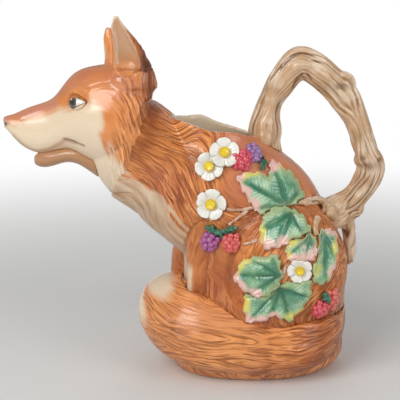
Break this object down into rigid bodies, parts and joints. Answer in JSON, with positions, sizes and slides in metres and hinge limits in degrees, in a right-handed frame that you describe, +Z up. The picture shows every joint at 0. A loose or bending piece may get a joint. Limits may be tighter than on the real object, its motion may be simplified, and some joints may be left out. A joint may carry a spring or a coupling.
{
  "type": "figural pitcher",
  "caption": "Fox-shaped ceramic pitcher with a branch handle, a wrapped tail, a pouring mouth and raised leaves, flowers and berries.",
  "frame": {"origin": "on the surface that the pitcher stands on, in the fox's middle plane, under the torso, inside the foot ring", "axes": "+Z up; -X the way the fox looks and pours, so +X points to the handle; -Y the fox's left side, with the leaves and flowers"},
  "size_m": [0.2742, 0.1192, 0.254],
  "materials": {
    "fur_glaze": "glossy orange-brown glaze over combed fur",
    "bark_glaze": "glossy tan glaze over bark grooves",
    "leaf_glaze": "glossy green, yellow and pink glaze",
    "petal_glaze": "glossy white glaze",
    "centre_glaze": "glossy yellow glaze",
    "red_berry_glaze": "glossy red-pink glaze",
    "purple_berry_glaze": "glossy purple glaze",
    "stem_glaze": "glossy cream-pink glaze",
    "eye_glaze": "glossy dark iris with a white corner"
  },
  "bodies": {
    "root": {"body_shell": "fur_glaze", "head_shell": "fur_glaze", "lower_jaw": "fur_glaze", "left_ear": "fur_glaze", "right_ear": "fur_glaze", "left_foreleg": "fur_glaze", "right_foreleg": "fur_glaze", "tail": "fur_glaze", "handle": "bark_glaze", "handle_spur": "bark_glaze", "upper_twig": "bark_glaze", "lower_twig": "bark_glaze", "shoulder_leaf": "leaf_glaze", "side_leaf": "leaf_glaze", "flank_leaf": "leaf_glaze", "rump_leaf": "leaf_glaze", "thigh_leaf": "leaf_glaze", "haunch_leaf": "leaf_glaze", "upper_calyx": "leaf_glaze", "middle_calyx": "leaf_glaze", "low_calyx": "leaf_glaze", "rim_flower": "petal_glaze", "nape_flower": "petal_glaze", "shoulder_flower": "petal_glaze", "thigh_flower": "petal_glaze", "rim_flower_centre": "centre_glaze", "nape_flower_centre": "centre_glaze", "shoulder_flower_centre": "centre_glaze", "thigh_flower_centre": "centre_glaze", "rim_berry": "red_berry_glaze", "haunch_berry": "red_berry_glaze", "rump_berry": "red_berry_glaze", "side_berry": "red_berry_glaze", "back_berry": "purple_berry_glaze", "shoulder_berry": "purple_berry_glaze", "flower_stem": "stem_glaze", "berry_stem": "stem_glaze", "lone_stem": "stem_glaze", "low_stem": "stem_glaze", "left_eye": "eye_glaze", "right_eye": "eye_glaze"}
  },
  "joints": []
}
